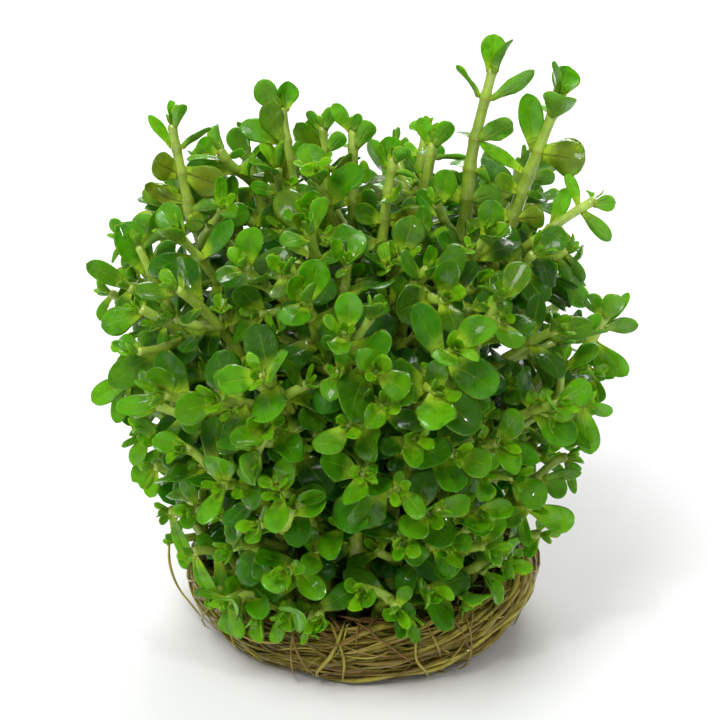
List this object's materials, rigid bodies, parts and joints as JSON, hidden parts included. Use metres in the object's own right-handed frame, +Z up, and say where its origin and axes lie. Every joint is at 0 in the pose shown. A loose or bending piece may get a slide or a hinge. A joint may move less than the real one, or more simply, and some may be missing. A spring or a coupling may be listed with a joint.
{
  "type": "indian toothcup plant clump",
  "caption": "Bushy aquarium plant clump: branching stems with opposite oval leaves standing in a shallow nest of coiled roots.",
  "frame": {"origin": "middle of the root nest's flat underside, where the clump stands", "axes": "+Z up along the clump, -Y towards the side that the picture shows, +X to its right, where the tallest stems lean"},
  "size_m": [0.0733, 0.0739, 0.0796],
  "materials": {
    "root": "matte",
    "foliage_top": "satin",
    "foliage_front": "satin",
    "foliage_back": "satin"
  },
  "bodies": {
    "root": {"root_nest": "root", "tall_shoot_01": "foliage_top", "tall_shoot_02": "foliage_top", "tall_shoot_03": "foliage_top", "tall_shoot_04": "foliage_top", "tall_shoot_05": "foliage_top", "tall_shoot_06": "foliage_top", "tall_shoot_07": "foliage_top", "tall_shoot_08": "foliage_top", "tall_shoot_09": "foliage_top", "front_shoot_01": "foliage_front", "front_shoot_02": "foliage_front", "front_shoot_03": "foliage_front", "front_shoot_04": "foliage_front", "front_shoot_05": "foliage_front", "front_shoot_06": "foliage_front", "front_shoot_07": "foliage_front", "front_shoot_08": "foliage_front", "front_shoot_09": "foliage_front", "front_shoot_10": "foliage_front", "front_shoot_11": "foliage_front", "front_shoot_12": "foliage_front", "front_shoot_13": "foliage_front", "front_shoot_14": "foliage_front", "front_shoot_15": "foliage_front", "front_shoot_16": "foliage_front", "front_shoot_17": "foliage_front", "front_shoot_18": "foliage_front", "front_shoot_19": "foliage_front", "front_shoot_20": "foliage_front", "front_shoot_21": "foliage_front", "front_shoot_22": "foliage_front", "front_shoot_23": "foliage_front", "front_shoot_24": "foliage_front", "front_shoot_25": "foliage_front", "front_shoot_26": "foliage_front", "front_shoot_27": "foliage_front", "front_shoot_28": "foliage_front", "front_shoot_29": "foliage_front", "front_shoot_30": "foliage_front", "back_shoot_01": "foliage_back", "back_shoot_02": "foliage_back", "back_shoot_03": "foliage_back", "back_shoot_04": "foliage_back", "back_shoot_05": "foliage_back", "back_shoot_06": "foliage_back", "back_shoot_07": "foliage_back", "back_shoot_08": "foliage_back", "back_shoot_09": "foliage_back", "back_shoot_10": "foliage_back", "back_shoot_11": "foliage_back", "back_shoot_12": "foliage_back", "back_shoot_13": "foliage_back", "back_shoot_14": "foliage_back", "back_shoot_15": "foliage_back", "back_shoot_16": "foliage_back"}
  },
  "joints": []
}
